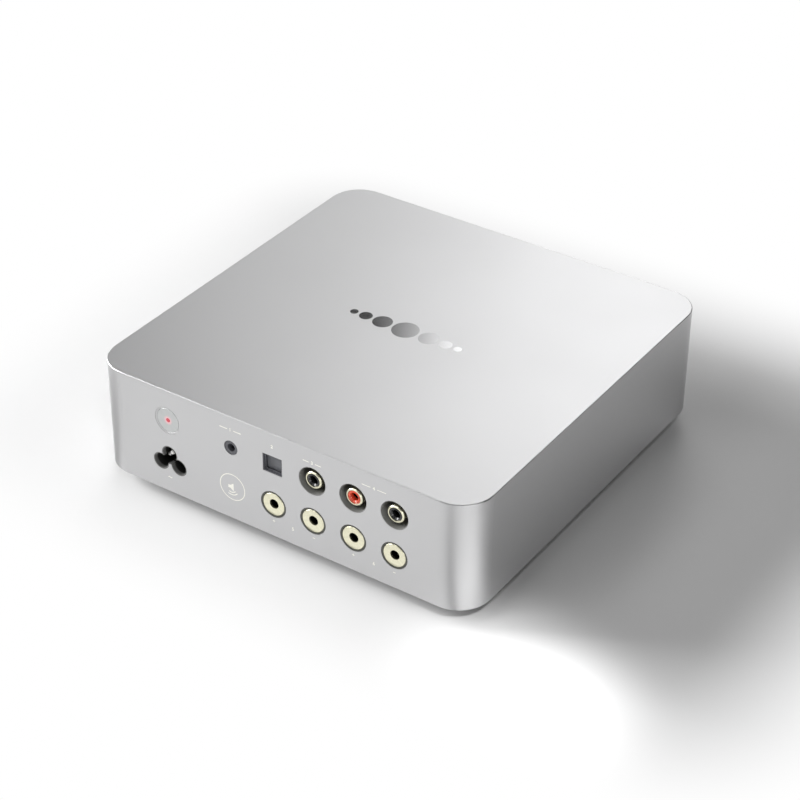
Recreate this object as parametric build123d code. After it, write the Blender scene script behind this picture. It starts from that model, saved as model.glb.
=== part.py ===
from build123d import *
import os

# A compact audio amplifier. A square aluminium case with round corners stands on four
# rubber feet, and all its sockets are on the rear face.
# Millimetres, +Z up. The front faces -Y, the sockets face +Y, and the origin is on the
# surface that the feet stand on, under the middle of the case.

# Clearances between pieces, and the extra length of a cut that has to pass a face
slip = 0.05
button_gap = 0.1
over = 1.0

# Case
case_width = 200.0
case_depth = 200.0
case_height = 63.0
shell_bottom = 8.0
corner_radius = 16.0
wall = 3.0
top_edge = 0.5
bottom_edge = 0.5
rear = case_depth / 2
front = -case_depth / 2
inside_rear = rear - wall
inside_front = front + wall
ceiling = case_height - wall

# Base cover: a flange inside the walls, and a pan that hangs a little lower
flange_gap = 0.4
flange_bottom = 9.0
flange_top = 11.5
pan_width = 166.0
pan_radius = 22.0
pan_bottom = 4.5
pan_floor_top = 7.0
pan_wall = 2.5
vent_width = 3.0
vent_length = 26.0
vent_pitch = 9.0
vent_count = 13
vent_row_y = 34.0

# Feet
foot_radius = 11.0
foot_place = 66.0
foot_edge = 0.8
foot_hollow_radius = 5.0
foot_hollow_depth = 1.2
stud_radius = 2.9
stud_head_radius = 3.5
stud_head_height = 1.1

# Screws, and the bosses in the shell's corners
boss_place = 89.0
boss_radius = 6.5
boss_hole_depth = 14.0
screw_radius = 1.45
screw_hole_radius = 1.5
sunk_head_radius = 2.9
sunk_head_height = 1.4
base_screw_length = 12.5
round_head_radius = 2.75
round_head_height = 2.0
board_screw_length = 6.0
hex_key_radius = 1.15
hex_key_depth = 1.1

# Polished discs let into the top
emblem_radii = (2.0, 3.2, 4.8, 6.5, 4.8, 3.2, 2.0)
emblem_gap = 1.25
emblem_depth = 0.5

# Socket rows on the rear face
upper_row = 46.5
lower_row = 25.5
socket_pitch = 21.0
first_socket_x = 1.0
coax_x = first_socket_x - socket_pitch
line_right_x = first_socket_x - 2 * socket_pitch
line_left_x = first_socket_x - 3 * socket_pitch
phono_xs = (coax_x, line_right_x, line_left_x)
speaker_xs = [first_socket_x - socket_pitch * n for n in range(4)]

# Phono sockets. Places along Y are measured from the middle of the case.
phono_hole_radius = 7.0
phono_cup_radius = 6.7
phono_cup_floor = 88.5
phono_cup_end = 99.85
phono_housing_half = 8.4
phono_housing_rear = 76.0
barrel_radius = 4.15
barrel_inner_radius = 3.35
barrel_end = 99.2
barrel_lip = 0.35
barrel_neck_radius = 4.6
barrel_foot_radius = 5.5
barrel_foot_rear = 84.1
barrel_foot_front = 85.9
insulator_rear = 84.5
insulator_dome = 0.35
funnel_radius = 2.4
funnel_depth = 0.7
throat_radius = 1.85
contact_radius = 2.2
contact_rear = 82.0
contact_front = 96.8
contact_bore_radius = 1.62
contact_bore_bottom = 84.0
contact_tail_radius = 0.9
contact_tail_rear = 74.0

# Speaker sockets for 4 mm banana plugs
speaker_hole_radius = 6.7
collar_flange_radius = 8.0
disc_radius = 5.75
disc_rear = 97.2
disc_rim = 0.25
disc_dish = 0.2
speaker_body_radius = 4.0
speaker_body_rear = 70.0
banana_radius = 2.05
banana_mouth_radius = 2.35
banana_end = 96.6
banana_bottom = 80.0
drill_point = 1.1
block_front = 93.0
block_rear = 78.0
block_half_height = 8.5
block_slot_width = 2.4
block_slot_depth = 11.0
nut_radius = 5.8
nut_height = 4.0

# Trigger jack for a 3.5 mm plug
trigger_x = 23.3
trigger_half_width = 5.5
trigger_rear = 79.0
trigger_nose_radius = 3.55
trigger_nose_end = 99.7
trigger_bore_radius = 1.8
trigger_mouth_radius = 2.0
trigger_bore_end = 96.5
trigger_bottom = 82.0

# Optical socket and its spring shutter
optical_x = first_socket_x
optical_width = 10.1
optical_height = 8.95
optical_face = 99.8
optical_front_plate = 1.5
recess_width = 9.3
recess_height = 8.3
recess_floor = 98.9
recess_corner = 0.6
optical_body_half = 6.5
optical_body_rear = 80.0
aperture_width = 8.5
aperture_height = 7.5
aperture_corner = 0.8
aperture_bevel = 0.2
cavity_width = 9.3
cavity_bottom = 42.3
cavity_top = 50.65
cavity_rear = 86.0
lens_radius = 1.25
lens_rear = 84.0
lens_front = 86.8
hinge_y = 97.3
hinge_z = 49.7
hinge_pin_radius = 0.3
hinge_pin_length = 10.0
shutter_width = 8.7
shutter_thickness = 0.8
shutter_bottom = 42.6
shutter_barrel_radius = 0.65

# Mains inlet: three round lobes, one above two
inlet_x = 58.2
inlet_low_z = 23.6
inlet_high_z = 28.9
inlet_half_width = 11.5
inlet_roof = 1.3
inlet_rear = 72.0
inlet_floor = 84.0
inlet_face = 99.9
lobe_offset = 5.0
lobe_radius = 4.3
lobe_wall = 0.5
mains_pin_radius = 1.18
mains_pin_neck = 1.0
mains_pin_tip = 1.1
mains_pin_rear = 68.0
live_pin_end = 94.5
earth_pin_end = 98.6

# Power button on the rear face
power_x = 58.2
power_z = 47.1
power_hole_radius = 7.0
bezel_inner_radius = 6.1
bezel_flange_radius = 8.6
bezel_rear = 95.8
bezel_face = 99.9
bezel_dish = 0.1
bezel_edge = 0.05
cap_radius = 6.0
cap_face = 99.8
cap_edge = 0.05
cap_dish = 0.15
cap_flange_radius = 7.2
cap_flange_rear = 94.4
cap_flange_front = 95.4
cap_stem_radius = 2.5
cap_stem_rear = 88.0
light_radius = 1.1
power_switch_rear = 74.0
power_switch_front = 87.0
power_switch_half = 6.0
power_switch_top = 52.6
plunger_hole_radius = 2.8
plunger_hole_floor = 84.0

# Select button and status light on the front face
source_x = 62.0
source_z = 35.5
source_radius = 4.0
source_face = -99.9
source_dish = 0.3
source_flange_radius = 5.2
source_flange_front = -96.7
source_flange_rear = -95.9
source_stem_radius = 1.5
source_stem_rear = -94.0
source_switch_half = 3.0
source_switch_front = -93.3
status_x = 76.0
status_radius = 1.25
status_flange_radius = 2.2
status_flange_front = -96.9
status_flange_rear = -96.0
status_rear = -92.0

# Boards and the pillars that carry them
board_thickness = 1.6
board_corner = 1.5
low_board_bottom = 15.0
low_board_top = low_board_bottom + board_thickness
input_board_bottom = 36.5
input_board_top = input_board_bottom + board_thickness
board_rear = 93.0
board_front = -84.0
amp_board_sides = (-80.0, 12.0)
supply_board_sides = (16.0, 80.0)
input_board_sides = (-80.0, 80.0)
input_board_front = 52.0
input_board_rear = 95.0
pillar_radius = 3.0
pillar_xs = (-74.0, 6.0, 22.0, 74.0)
pillar_front_y = -68.0
pillar_rear_y = 64.0
pillar_hole_depth = 7.0
pillar_stud_length = 5.0
front_board_rear = -90.0
front_board_face = front_board_rear - board_thickness
front_board_sides = (45.0, 82.0)
front_board_bottom = 24.0
front_board_top = 47.0
pads = ((50.0, 43.0), (78.0, 28.0))
pad_radius = 2.5
pad_hole_radius = 1.0

# Power supply, on the right-hand board
transformer_x = 42.0
transformer_y = -9.0
core_width = 36.0
core_depth = 26.0
core_height = 30.0
core_lift = 2.0
core_leg = 6.0
window_width = 7.0
core_yoke = 5.0
winding_width = 23.4
winding_depth = 36.0
winding_corner = 4.0
winding_gap = 0.3
choke_x = 32.0
choke_y = 42.0
choke_base = 24.0
choke_base_height = 2.5
choke_radius = 11.0
choke_hole_radius = 5.0
choke_height = 15.0
choke_round = 3.0
choke_split = 1.6
bulk_x = 62.0
bulk_y = 30.0
bulk_radius = 11.0
bulk_height = 35.0
supply_sink_x = 70.0
supply_sink_y = -60.0
supply_sink_length = 60.0
supply_sink_height = 30.0
supply_sink_base = 3.0
supply_fin_reach = 8.0
supply_fin_count = 9
fuse_x = 32.0
fuse_y = 62.0
fuse_length = 20.0
fuse_radius = 2.6
fuse_cap_radius = 3.0
fuse_cap_length = 5.0
fuse_lift = 3.4

# Amplifier, on the left-hand board
chip_xs = (-58.0, -26.0)
chip_y = -10.0
chip_width = 14.0
chip_height = 1.8
amp_sink_x = -42.0
amp_sink_y = -10.0
amp_sink_width = 60.0
amp_sink_depth = 50.0
amp_sink_base = 4.0
amp_sink_height = 26.0
amp_fin_count = 11
fin_thickness = 1.5
inductor_width = 13.0
inductor_height = 11.0
inductor_y = 42.5
reservoir_xs = (-66.0, -47.0, -28.0, -9.0)
reservoir_y = -52.0
reservoir_radius = 8.0
reservoir_height = 25.0
can_edge = 1.2
can_groove_bottom = 2.2
can_groove_top = 3.4
can_groove_depth = 0.6
lead_radius = 1.8
lead_from_x = 20.0
lead_to_x = -4.0
lead_y = -10.0
lead_rise = 14.0
lead_bend = 5.0


def block(x0, x1, y0, y1, z0, z1):
    """A box given by its six sides."""
    centre = Pos((x0 + x1) / 2, (y0 + y1) / 2, (z0 + z1) / 2)
    return centre * Box(x1 - x0, y1 - y0, z1 - z0)


def slab_at(x, y, width, depth, z0, z1):
    """A box given by its middle in plan, its width and depth, and its levels."""
    return Pos(x, y, (z0 + z1) / 2) * Box(width, depth, z1 - z0)


def rod_y(x, z, radius, y0, y1):
    """A cylinder along Y."""
    return Pos(x, (y0 + y1) / 2, z) * Rot(-90, 0, 0) * Cylinder(radius, y1 - y0)


def rod_z(x, y, radius, z0, z1):
    """An upright cylinder."""
    return Pos(x, y, (z0 + z1) / 2) * Cylinder(radius, z1 - z0)


def hex_z(x, y, radius, z0, z1):
    """An upright hexagonal bar."""
    return extrude(Pos(x, y, z0) * RegularPolygon(radius, 6), amount=z1 - z0)


def rounded_block(width, depth, radius, z0, z1):
    """A slab round the Z axis with upright round corners."""
    return extrude(Pos(0, 0, z0) * RectangleRounded(width, depth, radius), amount=z1 - z0)


def turned_y(points, x, z):
    """A turned piece on an axis along Y, from its outline of (radius, y) points."""
    outline = Plane.XZ * make_face(Polyline(*points, close=True))
    return Pos(x, 0, z) * Rot(-90, 0, 0) * revolve(outline, Axis.Z)


def inward(sketch, y, depth):
    """A sketch drawn as seen from the front, its height along Z, made solid from y towards -Y."""
    plane = Plane(origin=(0, y, 0), x_dir=(1, 0, 0), z_dir=(0, -1, 0))
    return extrude(plane * sketch, amount=depth)


def round_along_y(body, radius):
    """Round the long edges of a moulding that lies along Y."""
    return fillet(body.edges().filter_by(Axis.Y), radius)


def round_top(body, radius):
    """Round the edges of a piece's top face."""
    return fillet(body.edges().group_by(Axis.Z)[-1], radius)


def together(pieces):
    """Separate solids kept as one group."""
    group = Part()
    for piece in pieces:
        group += piece
    return group


def corners(place):
    """The four places at the same distance from both centre planes."""
    return [(x * place, y * place) for x in (-1, 1) for y in (-1, 1)]


def trefoil(radius):
    """The mains inlet's outline: three round lobes joined by the triangle of their centres."""
    low_left = (inlet_x - lobe_offset, inlet_low_z)
    low_right = (inlet_x + lobe_offset, inlet_low_z)
    top = (inlet_x, inlet_high_z)
    shape = make_face(Polyline(low_left, low_right, top, close=True))
    for x, z in (low_left, low_right, top):
        shape += Pos(x, z) * Circle(radius)
    return shape


def emblem_places():
    """Centre and radius of each disc in the top, left to right."""
    places = []
    x = -sum(emblem_radii) - emblem_gap * (len(emblem_radii) - 1) / 2
    for radius in emblem_radii:
        places.append((x + radius, radius))
        x += 2 * radius + emblem_gap
    return places


def make_shell():
    """Top and four walls in one piece, open at the bottom, with a screw boss in each corner."""
    shell = rounded_block(case_width, case_depth, corner_radius, shell_bottom, case_height)
    levels = shell.edges().filter_by(Plane.XY).group_by(Axis.Z)
    shell = fillet(levels[-1], top_edge)
    levels = shell.edges().filter_by(Plane.XY).group_by(Axis.Z)
    shell = chamfer(levels[0], bottom_edge)
    shell -= rounded_block(
        case_width - 2 * wall, case_depth - 2 * wall, corner_radius - wall, 0, ceiling
    )
    for x, y in corners(boss_place):
        shell += rod_z(x, y, boss_radius, flange_top, ceiling + over)
    for x, y in corners(boss_place):
        shell -= rod_z(x, y, screw_hole_radius, flange_top, flange_top + boss_hole_depth)
    for x, z in pads:
        shell += rod_y(x, z, pad_radius, inside_front - over, front_board_face)
        shell -= rod_y(x, z, pad_hole_radius, inside_front, front_board_face)
    for cut in rear_cuts() + front_cuts():
        shell -= cut
    for x, radius in emblem_places():
        shell -= rod_z(x, 0, radius, case_height - emblem_depth, case_height + over)
    return shell


def rear_cuts():
    """Everything that is cut through the rear wall."""
    through = (inside_rear - over, rear + over)
    cuts = [rod_y(x, upper_row, phono_hole_radius, *through) for x in phono_xs]
    cuts += [rod_y(x, lower_row, speaker_hole_radius, *through) for x in speaker_xs]
    cuts.append(rod_y(trigger_x, upper_row, trigger_nose_radius + slip, *through))
    cuts.append(rod_y(power_x, power_z, power_hole_radius, *through))
    window = Rectangle(optical_width + 2 * slip, optical_height + 2 * slip)
    cuts.append(inward(Pos(optical_x, upper_row) * window, rear + over, wall + 2 * over))
    cuts.append(inward(trefoil(lobe_radius), rear + over, wall + 2 * over))
    return cuts


def front_cuts():
    """The two holes in the front wall."""
    through = (front - over, inside_front + over)
    return [
        rod_y(source_x, source_z, source_radius + button_gap, *through),
        rod_y(status_x, source_z, status_radius + slip, *through),
    ]


def make_base_cover():
    """The plate that closes the case: a flange, and a lowered pan with vents in its floor."""
    flange_width = case_width - 2 * (wall + flange_gap)
    flange_radius = corner_radius - wall - flange_gap
    cover = rounded_block(flange_width, flange_width, flange_radius, flange_bottom, flange_top)
    cover += rounded_block(pan_width, pan_width, pan_radius, pan_bottom, flange_top)
    inner = pan_width - 2 * pan_wall
    cover -= rounded_block(inner, inner, pan_radius - pan_wall, pan_floor_top, flange_top + over)
    for x, y in corners(boss_place):
        cover -= rod_z(x, y, screw_radius + 3 * slip, flange_bottom - over, flange_top + over)
        sink = Cone(sunk_head_radius + 2 * slip, screw_radius + 3 * slip, sunk_head_height + slip)
        cover -= Pos(x, y, flange_bottom + sunk_head_height / 2) * sink
    for x, y in corners(foot_place):
        cover -= rod_z(x, y, stud_radius + 2 * slip, pan_bottom - over, pan_floor_top + over)
    slot = SlotOverall(vent_length, vent_width, rotation=90)
    for n in range(vent_count):
        x = (n - (vent_count - 1) / 2) * vent_pitch
        for y in (-vent_row_y, vent_row_y):
            cover -= extrude(Pos(x, y, pan_bottom - over) * slot, amount=pan_floor_top)
    return cover


def make_foot(x, y):
    """A rubber foot with a hollow underside and a stud that snaps into the pan."""
    foot = rod_z(x, y, foot_radius, 0, pan_bottom)
    foot = chamfer(foot.edges().group_by(Axis.Z)[0], foot_edge)
    foot -= rod_z(x, y, foot_hollow_radius, -over, foot_hollow_depth)
    head_bottom = pan_floor_top + slip
    foot += rod_z(x, y, stud_radius, pan_bottom - slip, head_bottom + slip)
    foot += rod_z(x, y, stud_head_radius, head_bottom, head_bottom + stud_head_height)
    return foot


def make_base_screws():
    """Four countersunk screws that go up through the flange into the shell's bosses."""
    screws = []
    for x, y in corners(boss_place):
        head = Cone(sunk_head_radius, screw_radius, sunk_head_height)
        screw = Pos(x, y, flange_bottom + sunk_head_height / 2 + slip) * head
        screw += rod_z(x, y, screw_radius, flange_bottom + slip, flange_bottom + base_screw_length)
        key = hex_z(x, y, hex_key_radius, flange_bottom - over, flange_bottom + hex_key_depth)
        screws.append(screw - key)
    return together(screws)


def make_top_emblem():
    """Polished discs that fill shallow pockets in the top."""
    bottom = case_height - emblem_depth
    discs = [rod_z(x, 0, radius - slip / 2, bottom, case_height) for x, radius in emblem_places()]
    return together(discs)


def make_phono_housing(xs):
    """A black moulding on the input board with a deep round cup for each phono socket."""
    left, right = min(xs) - phono_housing_half, max(xs) + phono_housing_half
    top = upper_row + phono_housing_half
    housing = block(left, right, phono_housing_rear, inside_rear - slip, input_board_top, top)
    housing = round_along_y(housing, 1.0)
    for x in xs:
        sleeve_radius = phono_hole_radius - slip
        housing += rod_y(x, upper_row, sleeve_radius, inside_rear - over, phono_cup_end)
        housing -= rod_y(x, upper_row, phono_cup_radius, phono_cup_floor, rear + over)
        neck = rod_y(x, upper_row, barrel_neck_radius + slip, barrel_foot_front, phono_cup_floor)
        foot_room = (barrel_foot_rear - slip, barrel_foot_front + slip)
        foot = rod_y(x, upper_row, barrel_foot_radius + slip, *foot_room)
        tail_room = (phono_housing_rear - over, barrel_foot_rear)
        tail = rod_y(x, upper_row, contact_radius + slip, *tail_room)
        housing -= neck
        housing -= foot
        housing -= tail
    return housing


def make_phono_barrel(x):
    """The plated outer contact: a tube with a rounded lip and a foot inside the housing."""
    points = [
        (barrel_inner_radius, barrel_foot_rear),
        (barrel_foot_radius, barrel_foot_rear),
        (barrel_foot_radius, barrel_foot_front),
        (barrel_neck_radius, barrel_foot_front),
        (barrel_neck_radius, phono_cup_floor),
        (barrel_radius, phono_cup_floor),
        (barrel_radius, barrel_end - barrel_lip),
        (barrel_radius - barrel_lip, barrel_end),
        (barrel_inner_radius, barrel_end),
    ]
    return turned_y(points, x, upper_row)


def make_phono_insulator(x):
    """The coloured plastic inside the barrel, slightly domed, with a funnel to the contact."""
    outer = barrel_inner_radius - slip
    rim = barrel_end - insulator_dome + 2 * slip
    crown = rim + insulator_dome
    inner = contact_radius + slip
    points = [
        (inner, insulator_rear),
        (outer, insulator_rear),
        (outer, rim),
        (funnel_radius, crown),
        (throat_radius, crown - funnel_depth),
        (throat_radius, contact_front + 2 * slip),
        (inner, contact_front + 2 * slip),
    ]
    return turned_y(points, x, upper_row)


def make_phono_contact(x):
    """The centre contact: a sleeve for a 3.2 mm pin, with a solder tail behind."""
    sleeve = rod_y(x, upper_row, contact_radius, contact_rear, contact_front)
    sleeve -= rod_y(x, upper_row, contact_bore_radius, contact_bore_bottom, contact_front + over)
    return sleeve + rod_y(x, upper_row, contact_tail_radius, contact_tail_rear, contact_rear + slip)


def make_speaker_socket(x):
    """A plated socket: a dished disc level with the rear face, and a threaded body behind it."""
    rim = rear - 2 * slip
    points = [
        (0, speaker_body_rear),
        (speaker_body_radius - 0.5, speaker_body_rear),
        (speaker_body_radius, speaker_body_rear + 0.5),
        (speaker_body_radius, disc_rear),
        (disc_radius, disc_rear),
        (disc_radius, rim - disc_rim),
        (disc_radius - disc_rim, rim),
        (disc_radius - 3 * disc_rim, rim - disc_dish),
        (banana_mouth_radius, rim - 2 * disc_dish),
        (banana_radius, banana_end),
        (banana_radius, banana_bottom),
        (0, banana_bottom - drill_point),
    ]
    return turned_y(points, x, lower_row)


def make_speaker_collar(x):
    """The dark insulating ring round a speaker socket, with a flange behind the rear wall."""
    outer = speaker_hole_radius - slip
    inner = speaker_body_radius + slip
    seat = disc_radius + slip
    points = [
        (inner, block_front),
        (collar_flange_radius, block_front),
        (collar_flange_radius, inside_rear - slip),
        (outer, inside_rear - slip),
        (outer, rear - 4 * slip),
        (outer - 3 * slip, rear - slip),
        (seat, rear - slip),
        (seat, disc_rear - slip),
        (inner, disc_rear - slip),
    ]
    return turned_y(points, x, lower_row)


def make_terminal_block():
    """The moulding on the amplifier board that carries the four speaker sockets."""
    left, right = speaker_xs[-1] - block_half_height, speaker_xs[0] + block_half_height
    top = lower_row + block_half_height
    body = block(left, right, block_rear, block_front, low_board_top, top)
    body = round_along_y(body, 1.0)
    for x in speaker_xs:
        hole = rod_y(x, lower_row, speaker_body_radius + 2 * slip, block_rear - over, block_front + over)
        body -= hole
    for near, far in zip(speaker_xs, speaker_xs[1:]):
        slot_y = block_front - block_slot_depth / 2
        slot_bottom = lower_row - block_half_height / 2
        slot = slab_at(
            (near + far) / 2, slot_y, block_slot_width, block_slot_depth, slot_bottom, top + over
        )
        body -= slot
    return body


def make_terminal_nuts():
    """The nuts that clamp the speaker sockets to their block."""
    nuts = []
    for x in speaker_xs:
        nut = inward(Pos(x, lower_row) * RegularPolygon(nut_radius, 6), block_rear, nut_height)
        nut -= rod_y(x, lower_row, speaker_body_radius + slip / 2, speaker_body_rear, block_rear + over)
        nuts.append(nut)
    return together(nuts)


def make_trigger_jack():
    """A 3.5 mm jack whose round nose fills its hole in the rear wall."""
    left, right = trigger_x - trigger_half_width, trigger_x + trigger_half_width
    top = upper_row + trigger_half_width
    jack = block(left, right, trigger_rear, inside_rear - slip, input_board_top, top)
    jack = round_along_y(jack, 0.6)
    jack += rod_y(trigger_x, upper_row, trigger_nose_radius, inside_rear - over, trigger_nose_end)
    jack -= rod_y(trigger_x, upper_row, trigger_bore_radius, trigger_bottom, rear)
    jack -= rod_y(trigger_x, upper_row, trigger_mouth_radius, trigger_bore_end, rear)
    return jack


def make_optical_receiver():
    """The optical socket's moulding: a square frame in the rear wall, and a cavity behind it."""
    left, right = optical_x - optical_body_half, optical_x + optical_body_half
    top = upper_row + optical_body_half
    body = block(left, right, optical_body_rear, inside_rear - slip, input_board_top, top)
    body = round_along_y(body, 0.6)
    frame = Pos(optical_x, upper_row) * Rectangle(optical_width, optical_height)
    body += inward(frame, optical_face, optical_face - inside_rear + over)
    left, right = optical_x - cavity_width / 2, optical_x + cavity_width / 2
    plate_rear = optical_face - optical_front_plate
    body -= block(left, right, cavity_rear, plate_rear, cavity_bottom, cavity_top)
    recess = RectangleRounded(recess_width, recess_height, recess_corner)
    body -= inward(Pos(optical_x, upper_row) * recess, rear, rear - recess_floor)
    aperture = RectangleRounded(aperture_width, aperture_height, aperture_corner)
    body -= inward(Pos(optical_x, upper_row) * aperture, rear, rear - plate_rear + over)
    ledge = body.faces().filter_by(lambda face: abs(face.center().Y - recess_floor) < slip)[0]
    body = chamfer(ledge.inner_wires()[0].edges(), aperture_bevel)
    body -= rod_y(optical_x, upper_row, lens_radius + slip, lens_rear, cavity_rear + over)
    return body - make_shutter_pin()


def make_optical_lens():
    """The clear lens at the bottom of the optical socket."""
    lens = rod_y(optical_x, upper_row, lens_radius, lens_rear, lens_front)
    return fillet(lens.edges().group_by(Axis.Y)[-1], lens_front - cavity_rear)


def rod_on_hinge(radius, length):
    """A cylinder along the shutter's hinge."""
    return Pos(optical_x, hinge_y, hinge_z) * Rot(0, 90, 0) * Cylinder(radius, length)


def make_shutter_pin():
    """The pin that the shutter turns on, held by the sides of the optical socket."""
    return rod_on_hinge(hinge_pin_radius, hinge_pin_length)


def make_optical_shutter():
    """The door in the optical socket. It hangs from its pin and swings in."""
    height = hinge_z - shutter_bottom
    door = Box(shutter_width, shutter_thickness, height)
    door = Pos(optical_x, hinge_y, shutter_bottom + height / 2) * door
    door += rod_on_hinge(shutter_barrel_radius, shutter_width)
    return door - rod_on_hinge(hinge_pin_radius + slip, shutter_width + over)


def mains_pin_places():
    """Centre and tip of each pin of the mains inlet. The earth pin stands further out."""
    return (
        (inlet_x - lobe_offset, inlet_low_z, live_pin_end),
        (inlet_x + lobe_offset, inlet_low_z, live_pin_end),
        (inlet_x, inlet_high_z, earth_pin_end),
    )


def make_mains_inlet():
    """The black inlet moulding, with its three-lobed cavity and a thin sleeve in the rear wall."""
    left, right = inlet_x - inlet_half_width, inlet_x + inlet_half_width
    top = inlet_high_z + lobe_radius + inlet_roof
    body = block(left, right, inlet_rear, inside_rear - slip, low_board_top, top)
    body = round_along_y(body, 1.5)
    body += inward(trefoil(lobe_radius - slip), inlet_face, inlet_face - inside_rear + over)
    body -= inward(trefoil(lobe_radius - lobe_wall), rear + over, rear + over - inlet_floor)
    for x, z, _ in mains_pin_places():
        body -= rod_y(x, z, mains_pin_neck, inlet_rear - over, inlet_floor + over)
    return body


def make_mains_pins():
    """The three round pins of the mains inlet, with rounded tips and thinner roots."""
    pins = []
    for x, z, tip in mains_pin_places():
        pin = rod_y(x, z, mains_pin_radius, inlet_floor, tip)
        pin = fillet(pin.edges().group_by(Axis.Y)[-1], mains_pin_tip)
        pins.append(pin + rod_y(x, z, mains_pin_neck, mains_pin_rear, inlet_floor + over))
    return together(pins)


def make_button_bezel():
    """The dished ring round the power button, with a flange behind the rear wall."""
    outer = power_hole_radius - slip / 2
    inner = bezel_inner_radius
    points = [
        (inner, bezel_rear),
        (bezel_flange_radius, bezel_rear),
        (bezel_flange_radius, inside_rear - slip),
        (outer, inside_rear - slip),
        (outer, bezel_face - bezel_edge),
        (outer - bezel_edge, bezel_face),
        (inner + bezel_edge, bezel_face - bezel_dish),
        (inner, bezel_face - bezel_dish - bezel_edge),
    ]
    return turned_y(points, power_x, power_z)


def make_power_button():
    """The round power button: a cap in the bezel, a flange that stops it, and a stem."""
    points = [
        (light_radius, cap_stem_rear),
        (cap_stem_radius, cap_stem_rear),
        (cap_stem_radius, cap_flange_rear),
        (cap_flange_radius, cap_flange_rear),
        (cap_flange_radius, cap_flange_front),
        (cap_radius, cap_flange_front),
        (cap_radius, cap_face - cap_edge),
        (cap_radius - cap_edge, cap_face),
        (light_radius, cap_face - cap_dish),
    ]
    return turned_y(points, power_x, power_z)


def make_power_light():
    """The light pipe through the middle of the power button."""
    return rod_y(power_x, power_z, light_radius - slip / 2, cap_stem_rear, cap_face - cap_dish)


def make_power_switch():
    """The push switch behind the power button, on the input board."""
    left, right = power_x - power_switch_half, power_x + power_switch_half
    sides = (power_switch_rear, power_switch_front)
    body = block(left, right, *sides, input_board_top, power_switch_top)
    body = round_along_y(body, 0.8)
    return body - rod_y(power_x, power_z, plunger_hole_radius, plunger_hole_floor, sides[1] + over)


def make_source_button():
    """The select button in the front wall: a dished cap, a flange and a stem."""
    points = [
        (0, source_stem_rear),
        (source_stem_radius, source_stem_rear),
        (source_stem_radius, source_flange_rear),
        (source_flange_radius, source_flange_rear),
        (source_flange_radius, source_flange_front),
        (source_radius, source_flange_front),
        (source_radius, source_face + 4 * slip),
        (source_radius - 4 * slip, source_face),
        (0, source_face + source_dish),
    ]
    return turned_y(points, source_x, source_z)


def make_source_switch():
    """The switch on the front board that the select button presses."""
    left, right = source_x - source_switch_half, source_x + source_switch_half
    low, high = source_z - source_switch_half, source_z + source_switch_half
    body = block(left, right, source_switch_front, front_board_face, low, high)
    return round_along_y(body, 0.5)


def make_status_lens():
    """The light pipe of the status light in the front wall."""
    points = [
        (0, status_rear),
        (status_radius, status_rear),
        (status_radius, status_flange_rear),
        (status_flange_radius, status_flange_rear),
        (status_flange_radius, status_flange_front),
        (status_radius, status_flange_front),
        (status_radius, front + 2 * slip),
        (0, front + slip),
    ]
    return turned_y(points, status_x, source_z)


def make_board(sides, ends, bottom, holes):
    """A circuit board with a hole for each pillar."""
    board = block(*sides, *ends, bottom, bottom + board_thickness)
    board = fillet(board.edges().filter_by(Axis.Z), board_corner)
    for x, y in holes:
        top = bottom + board_thickness + over
        board -= rod_z(x, y, screw_hole_radius + 2 * slip, bottom - over, top)
    return board


def places_on(sides, ys):
    """The pillar places that lie within a board's sides."""
    return [(x, y) for x in pillar_xs if sides[0] < x < sides[1] for y in ys]


def make_low_board(sides):
    """One of the two boards that stand on the base cover's pillars."""
    holes = places_on(sides, (pillar_front_y, pillar_rear_y))
    return make_board(sides, (board_front, board_rear), low_board_bottom, holes)


def make_input_board():
    """The upper board, which carries the power switch and the upper row of sockets."""
    holes = places_on(input_board_sides, (pillar_rear_y,))
    ends = (input_board_front, input_board_rear)
    return make_board(input_board_sides, ends, input_board_bottom, holes)


def make_front_board():
    """The small upright board behind the front wall, screwed to two pads."""
    sides = (*front_board_sides, front_board_face, front_board_rear)
    board = block(*sides, front_board_bottom, front_board_top)
    for x, z in pads:
        board -= rod_y(x, z, pad_hole_radius, front_board_face - over, front_board_rear + over)
    return board


def make_board_standoffs():
    """Hexagonal pillars: short ones under the low boards, long ones up to the input board."""
    pillars = []
    for x in pillar_xs:
        for y in (pillar_front_y, pillar_rear_y):
            pillar = hex_z(x, y, pillar_radius, pan_floor_top, low_board_bottom)
            hole = (low_board_bottom - pillar_hole_depth, low_board_bottom + over)
            pillars.append(pillar - rod_z(x, y, screw_hole_radius, *hole))
        y = pillar_rear_y
        pillar = hex_z(x, y, pillar_radius, low_board_top, input_board_bottom)
        hole = (input_board_bottom - pillar_hole_depth, input_board_bottom + over)
        pillar -= rod_z(x, y, screw_hole_radius, *hole)
        stud = (low_board_bottom - pillar_stud_length, low_board_top + slip)
        pillars.append(pillar + rod_z(x, y, screw_radius, *stud))
    return together(pillars)


def make_board_screws():
    """Round-headed screws that hold the low boards at the front and the input board on top."""
    places = [(x, pillar_front_y, low_board_top) for x in pillar_xs]
    places += [(x, pillar_rear_y, input_board_top) for x in pillar_xs]
    screws = []
    for x, y, seat in places:
        top = seat + round_head_height
        head = round_top(rod_z(x, y, round_head_radius, seat, top), 0.8)
        screw = head + rod_z(x, y, screw_radius, seat - board_screw_length, seat + slip)
        screws.append(screw - hex_z(x, y, hex_key_radius, top - hex_key_depth, top + over))
    return together(screws)


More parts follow.
